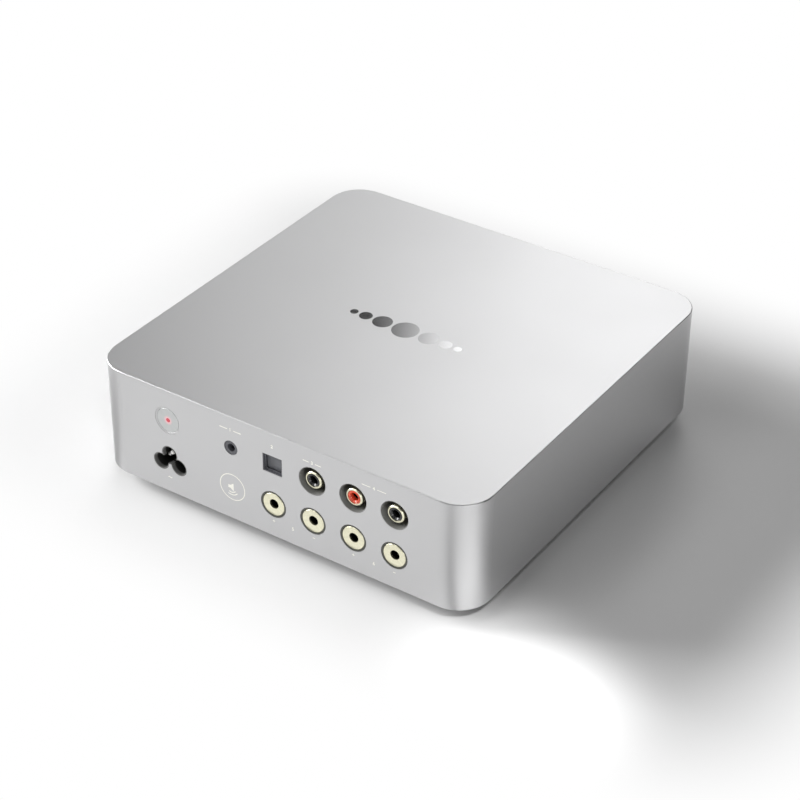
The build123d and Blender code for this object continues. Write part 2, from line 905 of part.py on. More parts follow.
def make_transformer_core():
    """The ferrite core, with a window each side of its middle leg."""
    bottom = low_board_top + core_lift
    top = bottom + core_height
    core = slab_at(transformer_x, transformer_y, core_width, core_depth, bottom, top)
    window_x = core_width / 2 - core_leg - window_width / 2
    for side in (-1, 1):
        x = transformer_x + side * window_x
        depth = core_depth + 2 * over
        core -= slab_at(x, transformer_y, window_width, depth, bottom + core_yoke, top - core_yoke)
    return core


def make_transformer_winding():
    """The taped winding round the core's middle leg."""
    low = low_board_top + core_lift + core_yoke + winding_gap
    high = low_board_top + core_lift + core_height - core_yoke - winding_gap
    winding = slab_at(transformer_x, transformer_y, winding_width, winding_depth, low, high)
    winding = fillet(winding.edges().filter_by(Axis.Z), winding_corner)
    leg = core_width - 2 * core_leg - 2 * window_width + 2 * winding_gap
    depth = core_depth + 2 * winding_gap
    return winding - slab_at(transformer_x, transformer_y, leg, depth, low - over, high + over)


def make_filter_choke():
    """A common-mode choke: a wound ring on a square base."""
    x, y = choke_x, choke_y
    base_top = low_board_top + choke_base_height
    top = low_board_top + choke_height
    ring = round_top(rod_z(x, y, choke_radius, base_top - slip, top), choke_round)
    ring -= rod_z(x, y, choke_hole_radius, base_top, top + over)
    ring -= slab_at(x, y, choke_split, choke_base, base_top, top + over)
    return slab_at(x, y, choke_base, choke_base, low_board_top, base_top) + ring


def make_can(x, y, radius, height):
    """An electrolytic capacitor standing on a low board, with the groove that seals its foot."""
    can = round_top(rod_z(x, y, radius, low_board_top, low_board_top + height), can_edge)
    levels = (low_board_top + can_groove_bottom, low_board_top + can_groove_top)
    groove = rod_z(x, y, radius + over, *levels) - rod_z(x, y, radius - can_groove_depth, *levels)
    return can - groove


def make_reservoir_capacitors():
    """Four capacitors along the front of the amplifier board."""
    size = (reservoir_radius, reservoir_height)
    return together([make_can(x, reservoir_y, *size) for x in reservoir_xs])


def make_supply_heatsink():
    """An upright comb of fins on the supply board."""
    x, y = supply_sink_x, supply_sink_y
    top = low_board_top + supply_sink_height
    sink = block(x, x + supply_sink_base, y, y + supply_sink_length, low_board_top, top)
    pitch = (supply_sink_length - fin_thickness) / (supply_fin_count - 1)
    for n in range(supply_fin_count):
        fin_y = y + n * pitch
        sink += block(
            x - supply_fin_reach, x + over, fin_y, fin_y + fin_thickness, low_board_top + 2, top
        )
    return sink


def make_fuse():
    """A ceramic mains fuse with metal caps, lying in its clips."""
    z = low_board_top + fuse_lift
    fuse = rod_y(fuse_x, z, fuse_radius, fuse_y, fuse_y + fuse_length)
    for y in (fuse_y, fuse_y + fuse_length - fuse_cap_length):
        fuse += rod_y(fuse_x, z, fuse_cap_radius, y, y + fuse_cap_length)
        middle = y + fuse_cap_length / 2
        fuse += slab_at(fuse_x, middle, 1.5 * fuse_cap_radius, fuse_cap_radius, low_board_top, z)
    return fuse


def make_amp_chips():
    """Two flat amplifier chips under the heatsink."""
    top = low_board_top + chip_height
    chips = [slab_at(x, chip_y, chip_width, chip_width, low_board_top, top) for x in chip_xs]
    return together(chips)


def make_amp_heatsink():
    """The finned heatsink that lies on the amplifier chips."""
    bottom = low_board_top + chip_height
    base_top = bottom + amp_sink_base
    sink = slab_at(amp_sink_x, amp_sink_y, amp_sink_width, amp_sink_depth, bottom, base_top)
    pitch = (amp_sink_width - fin_thickness) / (amp_fin_count - 1)
    for n in range(amp_fin_count):
        x = amp_sink_x + (n - (amp_fin_count - 1) / 2) * pitch
        fin = (base_top - over, bottom + amp_sink_height)
        sink += slab_at(x, amp_sink_y, fin_thickness, amp_sink_depth, *fin)
    return sink


def make_output_inductors():
    """Four moulded output chokes, one for each speaker socket."""
    top = low_board_top + inductor_height
    size = (inductor_width, inductor_width, low_board_top, top)
    return together([round_top(slab_at(x, inductor_y, *size), 1.5) for x in speaker_xs])


def make_supply_lead():
    """The lead that carries power from the supply board over to the amplifier board."""
    top = low_board_top + lead_rise
    start = (lead_from_x, lead_y, low_board_top)
    over_start = (lead_from_x, lead_y, top)
    over_end = (lead_to_x, lead_y, top)
    end = (lead_to_x, lead_y, low_board_top)
    route = FilletPolyline(start, over_start, over_end, end, radius=lead_bend)
    return sweep(Plane(origin=start, z_dir=(0, 0, 1)) * Circle(lead_radius), route)


def save(name, shape):
    export_step(shape, f"parts/{name}.step")


os.makedirs("parts", exist_ok=True)

save("shell", make_shell())
save("base_cover", make_base_cover())
save("base_screws", make_base_screws())
save("top_emblem", make_top_emblem())
foot_names = ("left_front", "left_rear", "right_front", "right_rear")
for (x, y), place in zip(corners(foot_place), foot_names):
    save(f"foot_{place}", make_foot(x, y))

save("mains_inlet", make_mains_inlet())
save("mains_pins", make_mains_pins())
save("button_bezel", make_button_bezel())
save("power_button", make_power_button())
save("power_light", make_power_light())
save("power_switch", make_power_switch())
save("trigger_jack", make_trigger_jack())
save("optical_receiver", make_optical_receiver())
save("optical_lens", make_optical_lens())
save("optical_shutter", make_optical_shutter())
save("shutter_pin", make_shutter_pin())

save("coax_housing", make_phono_housing([coax_x]))
save("line_housing", make_phono_housing([line_right_x, line_left_x]))
for x, socket in zip(phono_xs, ("coax", "line_right", "line_left")):
    save(f"{socket}_barrel", make_phono_barrel(x))
    save(f"{socket}_insulator", make_phono_insulator(x))
    save(f"{socket}_contact", make_phono_contact(x))

for number, x in enumerate(speaker_xs, start=1):
    save(f"speaker_socket_{number}", make_speaker_socket(x))
    save(f"speaker_collar_{number}", make_speaker_collar(x))
save("terminal_block", make_terminal_block())
save("terminal_nuts", make_terminal_nuts())

save("source_button", make_source_button())
save("source_switch", make_source_switch())
save("status_lens", make_status_lens())
save("front_board", make_front_board())

save("amp_board", make_low_board(amp_board_sides))
save("supply_board", make_low_board(supply_board_sides))
save("input_board", make_input_board())
save("board_standoffs", make_board_standoffs())
save("board_screws", make_board_screws())

save("transformer_core", make_transformer_core())
save("transformer_winding", make_transformer_winding())
save("filter_choke", make_filter_choke())
save("bulk_capacitor", make_can(bulk_x, bulk_y, bulk_radius, bulk_height))
save("supply_heatsink", make_supply_heatsink())
save("fuse", make_fuse())
save("amp_chips", make_amp_chips())
save("amp_heatsink", make_amp_heatsink())
save("output_inductors", make_output_inductors())
save("reservoir_capacitors", make_reservoir_capacitors())
save("supply_lead", make_supply_lead())
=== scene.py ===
import math

import bpy
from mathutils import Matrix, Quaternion, Vector


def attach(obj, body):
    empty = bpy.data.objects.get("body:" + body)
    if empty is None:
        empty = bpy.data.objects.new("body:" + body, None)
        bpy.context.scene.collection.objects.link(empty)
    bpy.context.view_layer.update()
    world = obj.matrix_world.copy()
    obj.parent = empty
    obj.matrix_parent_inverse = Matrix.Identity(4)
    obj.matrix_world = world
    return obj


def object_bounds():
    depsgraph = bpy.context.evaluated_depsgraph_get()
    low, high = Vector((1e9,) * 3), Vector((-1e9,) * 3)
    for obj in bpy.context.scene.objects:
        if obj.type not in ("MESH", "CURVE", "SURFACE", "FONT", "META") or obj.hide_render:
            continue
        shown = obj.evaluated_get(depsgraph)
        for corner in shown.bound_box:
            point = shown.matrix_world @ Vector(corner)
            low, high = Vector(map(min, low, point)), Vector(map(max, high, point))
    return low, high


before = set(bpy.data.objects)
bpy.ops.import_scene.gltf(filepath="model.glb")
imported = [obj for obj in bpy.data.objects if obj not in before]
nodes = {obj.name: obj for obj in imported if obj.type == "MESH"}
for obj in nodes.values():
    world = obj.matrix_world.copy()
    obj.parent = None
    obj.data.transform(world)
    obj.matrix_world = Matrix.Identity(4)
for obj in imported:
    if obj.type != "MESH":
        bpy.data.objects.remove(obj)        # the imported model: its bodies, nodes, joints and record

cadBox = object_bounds()

black = (0.0, 0.0, 0.0)
white = (1.0, 1.0, 1.0)


# small helpers
def deselectAll():
    if bpy.context.mode != "OBJECT":
        bpy.ops.object.mode_set(mode="OBJECT")
    bpy.ops.object.select_all(action="DESELECT")


def middleOf(name):
    # the middle of a CAD node's box
    corners = nodes[name].bound_box
    return [(min(c[i] for c in corners) + max(c[i] for c in corners)) / 2 for i in range(3)]


def axisAt(name):
    # where an axis along Y passes through the middle of a CAD node
    middle = middleOf(name)
    return {"firstX": middle[0], "firstZ": middle[2]}


def newGroup(name, inputs, outputs):
    # a shader group with number inputs, and its two end nodes
    group = bpy.data.node_groups.new(name, "ShaderNodeTree")
    for title, value in inputs.items():
        socket = group.interface.new_socket(name=title, in_out="INPUT", socket_type="NodeSocketFloat")
        socket.default_value = value
    for title in outputs:
        group.interface.new_socket(name=title, in_out="OUTPUT", socket_type="NodeSocketFloat")
    start = group.nodes.new("NodeGroupInput")
    end = group.nodes.new("NodeGroupOutput")
    return group, start, end


def placeGroup(tree, group, values):
    node = tree.nodes.new("ShaderNodeGroup")
    node.node_tree = group
    for title, value in values.items():
        node.inputs[title].default_value = value
    return node.outputs


def plug(tree, value, socket):
    # a number is written on the socket, and another socket is linked to it
    if isinstance(value, (int, float)):
        socket.default_value = value
    elif value is not None:
        tree.links.new(value, socket)


def mathNode(tree, operation, a, b=None, c=None):
    node = tree.nodes.new("ShaderNodeMath")
    node.operation = operation
    for socket, value in zip(node.inputs, (a, b, c)):
        plug(tree, value, socket)
    return node.outputs[0]


def noiseNode(tree, vector, scale, detail=2.0, roughness=0.5):
    node = tree.nodes.new("ShaderNodeTexNoise")
    node.inputs["Detail"].default_value = detail
    node.inputs["Roughness"].default_value = roughness
    tree.links.new(vector, node.inputs["Vector"])
    plug(tree, scale, node.inputs["Scale"])
    return node.outputs["Fac"]


def rangeNode(tree, value, low, high):
    # rises smoothly from 0 at low to 1 at high
    node = tree.nodes.new("ShaderNodeMapRange")
    node.interpolation_type = "SMOOTHSTEP"
    node.inputs["From Min"].default_value = low
    node.inputs["From Max"].default_value = high
    tree.links.new(value, node.inputs["Value"])
    return node.outputs["Result"]


def mixColours(tree, share, a, b):
    # a and b are colours or sockets
    node = tree.nodes.new("ShaderNodeMix")
    node.data_type = "RGBA"
    tree.links.new(share, node.inputs["Factor"])
    for title, value in (("A", a), ("B", b)):
        if isinstance(value, tuple):
            node.inputs[title].default_value = (*value, 1.0)
        else:
            tree.links.new(value, node.inputs[title])
    return node.outputs["Result"]


def objectCoords(tree):
    return tree.nodes.new("ShaderNodeTexCoord").outputs["Object"]


def coordParts(tree):
    # X, Y and Z of the object coordinates
    split = tree.nodes.new("ShaderNodeSeparateXYZ")
    tree.links.new(objectCoords(tree), split.inputs[0])
    return split.outputs


def linkSurface(tree, shader, colour, normal):
    tree.links.new(colour, shader.inputs["Base Color"])
    tree.links.new(normal, shader.inputs["Normal"])


def linkOutput(tree, socket):
    end = next(n for n in tree.nodes if n.type == "OUTPUT_MATERIAL")
    tree.links.new(socket, end.inputs["Surface"])


def shaded(colour, factor):
    return tuple(min(c * factor, 1.0) for c in colour)


# effects that several finishes share
def makeGrainGroup():
    # fine blasted or moulded grain, and slow patches where a finish is a little uneven
    group, start, end = newGroup(
        "surfaceGrain", {"Grain Scale": 2500.0, "Patch Scale": 25.0}, ("Grain", "Patch"),
    )
    coords = objectCoords(group)
    grain = noiseNode(group, coords, start.outputs["Grain Scale"], detail=3.0, roughness=0.6)
    patch = noiseNode(group, coords, start.outputs["Patch Scale"])
    group.links.new(grain, end.inputs["Grain"])
    group.links.new(patch, end.inputs["Patch"])
    return group


def makeTurnedGroup():
    # tool marks of a lathe: rings, and soft streaks by angle that are partly painted sheen, about the nearest
    # of a grid of axes along Y
    group, start, end = newGroup(
        "turnedMarks",
        {"First X": 0.0, "First Z": 0.0, "Step": 1.0, "Ring Pitch": 0.0003},
        ("Radius", "Ring", "Streak"),
    )
    parts = coordParts(group)
    step = start.outputs["Step"]
    half = mathNode(group, "MULTIPLY", step, 0.5)
    sides = []
    for axis in "XZ":
        low = mathNode(group, "SUBTRACT", parts[axis], start.outputs["First " + axis])
        inside = mathNode(group, "FLOORED_MODULO", mathNode(group, "ADD", low, half), step)
        sides.append(mathNode(group, "SUBTRACT", inside, half))
    square = mathNode(group, "MULTIPLY", sides[0], sides[0])
    radius = mathNode(group, "SQRT", mathNode(group, "MULTIPLY_ADD", sides[1], sides[1], square))
    turn = mathNode(group, "DIVIDE", radius, start.outputs["Ring Pitch"])
    ring = mathNode(group, "SINE", mathNode(group, "MULTIPLY", turn, 2 * math.pi))
    smallest = 0.0001    # keeps the division away from zero
    divisor = mathNode(group, "MAXIMUM", radius, smallest)
    around = group.nodes.new("ShaderNodeCombineXYZ")
    for axis, side in zip("XY", sides):
        group.links.new(mathNode(group, "DIVIDE", side, divisor), around.inputs[axis])
    streakAndSheen = noiseNode(group, around.outputs[0], 3.5, detail=3.0, roughness=0.6)
    group.links.new(radius, end.inputs["Radius"])
    group.links.new(mathNode(group, "MULTIPLY_ADD", ring, 0.5, 0.5), end.inputs["Ring"])
    group.links.new(streakAndSheen, end.inputs["Streak"])
    return group


def makeWrapGroup():
    # evenly spaced lines across one direction, such as turns of wire, laps of tape or saw marks
    group, start, end = newGroup(
        "wrapLines", {"Along X": 0.0, "Along Y": 0.0, "Along Z": 1.0, "Pitch": 0.001}, ("Line",),
    )
    parts = coordParts(group)
    reach = mathNode(group, "MULTIPLY", parts["X"], start.outputs["Along X"])
    for axis in "YZ":
        reach = mathNode(group, "MULTIPLY_ADD", parts[axis], start.outputs["Along " + axis], reach)
    turn = mathNode(group, "DIVIDE", reach, start.outputs["Pitch"])
    wave = mathNode(group, "COSINE", mathNode(group, "MULTIPLY", turn, 2 * math.pi))
    group.links.new(mathNode(group, "MULTIPLY_ADD", wave, -0.5, 0.5), end.inputs["Line"])
    return group


grainGroup = makeGrainGroup()
turnedGroup = makeTurnedGroup()
wrapGroup = makeWrapGroup()
# where the patches and the streaks begin and end in their noise
noiseRange = {"patch": (0.35, 0.75), "streakAndSheen": (0.3, 0.7)}


# how a finish is built up
def newMaterial(name, look):
    # what is the same all over stands on the shader's own sockets
    made = bpy.data.materials.new(name)
    made.use_nodes = True
    tree = made.node_tree
    shader = next(n for n in tree.nodes if n.type == "BSDF_PRINCIPLED")
    shader.inputs["Base Color"].default_value = (*look["colour"], 1.0)
    shader.inputs["Metallic"].default_value = look.get("metal", 0.0)
    shader.inputs["Roughness"].default_value = look["roughness"]
    shader.inputs["Coat Weight"].default_value = look.get("coat", 0.0)
    shader.inputs["Coat Roughness"].default_value = 0.1
    shader.inputs["Specular IOR Level"].default_value = look.get("specular", 0.5)
    return made, tree, shader


def addBump(tree, height, depth, strength=1.0, under=None):
    bump = tree.nodes.new("ShaderNodeBump")
    bump.inputs["Strength"].default_value = strength
    bump.inputs["Distance"].default_value = depth
    tree.links.new(height, bump.inputs["Height"])
    if under is not None:
        tree.links.new(under, bump.inputs["Normal"])
    return bump.outputs["Normal"]


def addGrain(tree, shader, look):
    # grain in the surface and the colour, patches in the gloss; gives back the colour and the normal
    scales = {"Grain Scale": look["grainScale"], "Patch Scale": look["patchScale"]}
    grain = placeGroup(tree, grainGroup, scales)
    normal = addBump(tree, grain["Grain"], look["grainDepth"], look["grainStrength"])
    spread = look["roughnessSpread"]
    rough = mathNode(tree, "MULTIPLY_ADD", grain["Patch"], spread, look["roughness"] - spread / 2)
    tree.links.new(rough, shader.inputs["Roughness"])
    dark = shaded(look["colour"], 1 - look["tone"])
    pale = shaded(look["colour"], 1 + look["tone"])
    colour = mixColours(tree, grain["Grain"], dark, pale)
    colour = mixColours(tree, rangeNode(tree, grain["Patch"], *noiseRange["patch"]), colour, dark)
    return colour, normal


def paintedShadeDepth(tree, look):
    # where the painted shade falls in the sockets: 0 at the mouth and 1 farther in, by the place along Y
    return rangeNode(tree, coordParts(tree)["Y"], look["mouthAt"], look["deepAt"])


def finishPlain(name, look):
    # a blasted, moulded or painted surface
    made, tree, shader = newMaterial(name, look)
    colour, normal = addGrain(tree, shader, look)
    # painted shade, darker farther into the socket
    if "paintedShadeColour" in look:
        colour = mixColours(tree, paintedShadeDepth(tree, look), colour, look["paintedShadeColour"])
    linkSurface(tree, shader, colour, normal)
    return made


def finishTurned(name, look):
    # metal or plastic turned about an axis along Y
    made, tree, shader = newMaterial(name, look)
    colour, normal = addGrain(tree, shader, look)
    marks = placeGroup(tree, turnedGroup, {
        "First X": look["firstX"], "First Z": look["firstZ"],
        "Step": look["step"], "Ring Pitch": look["ringPitch"],
    })
    # darker streaks by angle round the axis: tool marks, and a painted sheen of the spun face
    streakAndSheen = rangeNode(tree, marks["Streak"], *noiseRange["streakAndSheen"])
    colour = mixColours(tree, streakAndSheen, shaded(look["colour"], 1 - look["streakAndSheen"]), colour)
    # painted shade down inside the bore, darker farther in
    if "paintedShadeColour" in look:
        inside = rangeNode(tree, marks["Radius"], look["holeRadius"] + look["holeEdge"], look["holeRadius"])
        share = mathNode(tree, "MULTIPLY", inside, paintedShadeDepth(tree, look))
        colour = mixColours(tree, share, colour, look["paintedShadeColour"])
    linkSurface(tree, shader, colour, addBump(tree, marks["Ring"], look["ringDepth"], under=normal))
    return made, tree, shader, marks


def finishWrapped(name, look):
    # a surface with even lines across one direction
    made, tree, shader = newMaterial(name, look)
    colour, normal = addGrain(tree, shader, look)
    along = look["along"]
    lines = placeGroup(tree, wrapGroup, {
        "Along X": along[0], "Along Y": along[1], "Along Z": along[2], "Pitch": look["pitch"],
    })
    dark = rangeNode(tree, lines["Line"], look["lineTo"], look["lineFrom"])
    colour = mixColours(tree, dark, colour, look["lineColour"])
    linkSurface(tree, shader, colour, addBump(tree, lines["Line"], look["lineDepth"], under=normal))
    return made


def wear(material, *names):
    # gives CAD nodes their finish
    for name in names:
        nodes[name].material_slots[0].material = material


def starting(text):
    return [name for name in nodes if name.startswith(text)]


# finishes of the case
shellLook = {
    "colour": (0.62, 0.62, 0.625), "metal": 1.0, "roughness": 0.44, "roughnessSpread": 0.03, "tone": 0.015,
    "grainScale": 3200.0, "grainDepth": 0.00004, "grainStrength": 0.1, "patchScale": 14.0,
}
wear(finishPlain("blastedAluminium", shellLook), "shell")

emblemLook = {
    "colour": (0.93, 0.93, 0.94), "metal": 1.0, "roughness": 0.1, "roughnessSpread": 0.03, "tone": 0.01,
    "grainScale": 900.0, "grainDepth": 0.000004, "grainStrength": 0.1, "patchScale": 160.0,
}
wear(finishPlain("polishedInlay", emblemLook), "top_emblem")

coverLook = {
    "colour": (0.028, 0.028, 0.03), "roughness": 0.5, "roughnessSpread": 0.1, "tone": 0.2,
    "grainScale": 1500.0, "grainDepth": 0.00012, "grainStrength": 0.6, "patchScale": 20.0,
}
wear(finishPlain("powderCoat", coverLook), "base_cover")

rubberLook = {
    "colour": (0.03, 0.03, 0.03), "roughness": 0.82, "roughnessSpread": 0.12, "tone": 0.25, "specular": 0.3,
    "grainScale": 1100.0, "grainDepth": 0.0001, "grainStrength": 0.5, "patchScale": 60.0,
}
wear(finishPlain("footRubber", rubberLook), *starting("foot_"))

steelLook = {
    "colour": (0.42, 0.42, 0.43), "metal": 1.0, "roughness": 0.34, "roughnessSpread": 0.12, "tone": 0.08,
    "grainScale": 1600.0, "grainDepth": 0.00003, "grainStrength": 0.4, "patchScale": 300.0,
}
wear(finishPlain("zincSteel", steelLook), "base_screws")

nickelLook = {
    "colour": (0.66, 0.64, 0.6), "metal": 1.0, "roughness": 0.22, "roughnessSpread": 0.08, "tone": 0.03,
    "grainScale": 1400.0, "grainDepth": 0.00001, "grainStrength": 0.3, "patchScale": 250.0,
}
brightNickel = finishPlain("brightNickel", nickelLook)
wear(brightNickel, "shutter_pin", "terminal_nuts", "board_standoffs", "board_screws")
pinLook = {**nickelLook, "colour": (0.93, 0.92, 0.9), "roughness": 0.5}
wear(finishPlain("pinNickel", pinLook), "mains_pins")
print("case finishes done")


# finishes of the buttons and lights
buttonLook = {
    "colour": (0.6, 0.612, 0.61), "metal": 1.0, "roughness": 0.46, "roughnessSpread": 0.04, "tone": 0.01,
    "grainScale": 2600.0, "grainDepth": 0.00002, "grainStrength": 0.15, "patchScale": 120.0,
    **axisAt("power_light"), "step": 1.0, "ringPitch": 0.00032, "ringDepth": 0.000002, "streakAndSheen": 0.05,
}
# the painted glow of the red lamp on the button cap, strongest near the lamp's axis
paintedGlowLook = {"colour": (0.34, 0.03, 0.06), "from": 0.0027, "to": 0.001}


def finishButton(look, paintedGlow):
    # spun aluminium, with a painted glow on the cap round the lamp, standing in for the lamp's light spilling
    # onto it
    made, tree, shader, marks = finishTurned("spunAluminium", look)
    share = rangeNode(tree, marks["Radius"], paintedGlow["from"], paintedGlow["to"])
    tree.links.new(mixColours(tree, share, black, paintedGlow["colour"]), shader.inputs["Emission Color"])
    shader.inputs["Emission Strength"].default_value = 1.0
    return made


wear(finishButton(buttonLook, paintedGlowLook), "power_button")
bezelLook = {**buttonLook, "colour": (0.62, 0.62, 0.625), "roughness": 0.52}
wear(finishTurned("bezelAluminium", bezelLook)[0], "button_bezel")
sourceLook = {**buttonLook, **axisAt("source_button")}
wear(finishTurned("frontButtonAluminium", sourceLook)[0], "source_button")

redLightLook = {
    "colour": (0.38, 0.03, 0.045), "roughness": 0.35, "roughnessSpread": 0.05, "tone": 0.05, "coat": 0.4,
    "grainScale": 2000.0, "grainDepth": 0.00001, "grainStrength": 0.2, "patchScale": 500.0,
    **axisAt("power_light"), "reach": 0.0011,
    "edgeGlow": (0.8, 0.05, 0.09), "middleGlow": (0.85, 0.08, 0.12), "glow": 0.32,
}


def finishRedLight(look):
    # a lit lens, brighter in its middle
    made, tree, shader = newMaterial("redLens", look)
    linkSurface(tree, shader, *addGrain(tree, shader, look))
    marks = placeGroup(tree, turnedGroup, {"First X": look["firstX"], "First Z": look["firstZ"]})
    share = rangeNode(tree, marks["Radius"], look["reach"], 0.0)
    glow = mixColours(tree, share, look["edgeGlow"], look["middleGlow"])
    tree.links.new(glow, shader.inputs["Emission Color"])
    shader.inputs["Emission Strength"].default_value = look["glow"]
    return made


wear(finishRedLight(redLightLook), "power_light")

frostedLook = {
    "colour": (0.82, 0.82, 0.8), "roughness": 0.5, "roughnessSpread": 0.1, "tone": 0.03, "coat": 0.2,
    "grainScale": 2200.0, "grainDepth": 0.00003, "grainStrength": 0.4, "patchScale": 200.0,
}
wear(finishPlain("frostedLens", frostedLook), "status_lens")

clearLook = {
    "colour": (0.75, 0.8, 0.85), "roughness": 0.06, "roughnessSpread": 0.04, "tone": 0.02, "coat": 0.8,
    "grainScale": 600.0, "grainDepth": 0.000005, "grainStrength": 0.2, "patchScale": 400.0,
    "transmission": 0.85, "ior": 1.49,
}


def finishClear(look):
    made, tree, shader = newMaterial("clearLens", look)
    linkSurface(tree, shader, *addGrain(tree, shader, look))
    shader.inputs["Transmission Weight"].default_value = look["transmission"]
    shader.inputs["IOR"].default_value = look["ior"]
    return made


wear(finishClear(clearLook), "optical_lens")
print("buttons and lights done")


# finishes of the sockets, whose axes stand on a square grid
socketStep = middleOf("speaker_socket_1")[0] - middleOf("speaker_socket_2")[0]
socketGrid = {**axisAt("speaker_socket_1"), "step": socketStep}

goldLook = {
    "colour": (0.92, 0.89, 0.68), "metal": 1.0, "roughness": 0.32, "roughnessSpread": 0.06, "tone": 0.02,
    "grainScale": 1800.0, "grainDepth": 0.00001, "grainStrength": 0.12, "patchScale": 180.0,
    "ringPitch": 0.0004, "ringDepth": 0.000004, "streakAndSheen": 0.1, **socketGrid,
    "holeRadius": 0.0024, "holeEdge": 0.0002,
    # the bores are painted darker farther in, as painted shade
    "mouthAt": 0.0995, "deepAt": 0.098, "paintedShadeColour": (0.012, 0.011, 0.008),
}
paleGold = finishTurned("paleGold", goldLook)[0]
wear(paleGold, *starting("speaker_socket"), "coax_barrel", "line_right_barrel", "line_left_barrel",
     "coax_contact", "line_right_contact", "line_left_contact")

collarLook = {
    "colour": (0.075, 0.075, 0.06), "roughness": 0.42, "roughnessSpread": 0.08, "tone": 0.12,
    "grainScale": 1700.0, "grainDepth": 0.00003, "grainStrength": 0.4, "patchScale": 120.0,
    "ringPitch": 0.0005, "ringDepth": 0.000004, "streakAndSheen": 0.2, **socketGrid,
}
wear(finishTurned("collarPlastic", collarLook)[0], *starting("speaker_collar"))

blackInsulatorLook = {
    "colour": (0.018, 0.018, 0.02), "roughness": 0.24, "roughnessSpread": 0.08, "tone": 0.2, "coat": 0.3,
    "grainScale": 1500.0, "grainDepth": 0.00002, "grainStrength": 0.3, "patchScale": 150.0,
    "ringPitch": 0.0006, "ringDepth": 0.000004, "streakAndSheen": 0.3, **socketGrid,
}
wear(finishTurned("blackInsulator", blackInsulatorLook)[0], "coax_insulator", "line_left_insulator")
redInsulatorLook = {
    **blackInsulatorLook, "colour": (0.8, 0.09, 0.035), "roughness": 0.32, "tone": 0.08, "streakAndSheen": 0.12,
}
wear(finishTurned("redInsulator", redInsulatorLook)[0], "line_right_insulator")

housingLook = {
    "colour": (0.26, 0.26, 0.25), "roughness": 0.34, "roughnessSpread": 0.1, "tone": 0.1,
    "grainScale": 1300.0, "grainDepth": 0.00005, "grainStrength": 0.4, "patchScale": 90.0,
}
wear(finishPlain("socketHousing", housingLook), "coax_housing", "line_housing")

inletLook = {
    "colour": (0.022, 0.022, 0.021), "roughness": 0.4, "roughnessSpread": 0.12, "tone": 0.2,
    "grainScale": 1200.0, "grainDepth": 0.00006, "grainStrength": 0.5, "patchScale": 80.0,
}
wear(finishPlain("blackMoulding", inletLook), "power_switch", "source_switch", "terminal_block")
# the inlet's moulding is painted lighter at its mouth as painted light on the lit walls, and painted shade
# farther in
paintedLitMouthLook = {
    **inletLook, "colour": (0.17, 0.17, 0.165),
    "mouthAt": 0.0984, "deepAt": 0.0976, "paintedShadeColour": (0.014, 0.014, 0.013),
}
wear(finishPlain("inletPaintedLightAndShade", paintedLitMouthLook), "mains_inlet")

jackLook = {
    "colour": (0.105, 0.107, 0.12), "roughness": 0.2, "roughnessSpread": 0.06, "tone": 0.1,
    "grainScale": 1500.0, "grainDepth": 0.00004, "grainStrength": 0.35, "patchScale": 110.0,
}
wear(finishPlain("greyMoulding", jackLook), "trigger_jack", "optical_receiver")
shutterLook = {**jackLook, "colour": (0.18, 0.184, 0.2), "roughness": 0.36}
wear(finishPlain("paleMoulding", shutterLook), "optical_shutter")
print("sockets done")


# finishes inside the case
boardLook = {
    "colour": (0.012, 0.075, 0.04), "roughness": 0.32, "roughnessSpread": 0.06, "tone": 0.15, "coat": 0.5,
    "grainScale": 900.0, "grainDepth": 0.00003, "grainStrength": 0.3, "patchScale": 60.0,
    "trackColour": (0.03, 0.17, 0.08), "trackScale": 240.0, "trackFrom": 0.62, "trackTo": 0.66,
    "trackDepth": 0.00003,
    "padColour": (0.62, 0.6, 0.55), "padScale": 330.0, "padFrom": 0.2, "padTo": 0.17,
}


def finishBoard(look):
    # solder mask over copper tracks, with tinned pads
    made, tree, shader = newMaterial("circuitBoard", look)
    colour, normal = addGrain(tree, shader, look)
    coords = objectCoords(tree)
    tracks = tree.nodes.new("ShaderNodeTexVoronoi")
    tracks.distance = "CHEBYCHEV"
    tracks.feature = "F2"
    tracks.inputs["Scale"].default_value = look["trackScale"]
    tree.links.new(coords, tracks.inputs["Vector"])
    pads = tree.nodes.new("ShaderNodeTexVoronoi")
    pads.inputs["Scale"].default_value = look["padScale"]
    tree.links.new(coords, pads.inputs["Vector"])
    trackShare = rangeNode(tree, tracks.outputs["Distance"], look["trackFrom"], look["trackTo"])
    padShare = rangeNode(tree, pads.outputs["Distance"], look["padFrom"], look["padTo"])
    colour = mixColours(tree, trackShare, colour, look["trackColour"])
    colour = mixColours(tree, padShare, colour, look["padColour"])
    tree.links.new(padShare, shader.inputs["Metallic"])
    linkSurface(tree, shader, colour, addBump(tree, trackShare, look["trackDepth"], under=normal))
    return made


wear(finishBoard(boardLook), "front_board", "amp_board", "supply_board", "input_board")

ferriteLook = {
    "colour": (0.055, 0.053, 0.055), "roughness": 0.55, "roughnessSpread": 0.15, "tone": 0.3,
    "grainScale": 1600.0, "grainDepth": 0.00006, "grainStrength": 0.5, "patchScale": 140.0,
}
wear(finishPlain("groundFerrite", ferriteLook), "transformer_core")

tapeLook = {
    "colour": (0.75, 0.52, 0.06), "roughness": 0.34, "roughnessSpread": 0.08, "tone": 0.06, "coat": 0.3,
    "grainScale": 700.0, "grainDepth": 0.00005, "grainStrength": 0.3, "patchScale": 70.0,
    "along": (0.0, 0.0, 1.0), "pitch": 0.0065, "lineFrom": 0.0, "lineTo": 0.06,
    "lineColour": (0.4, 0.24, 0.02), "lineDepth": 0.00005,
}
wear(finishWrapped("windingTape", tapeLook), "transformer_winding")

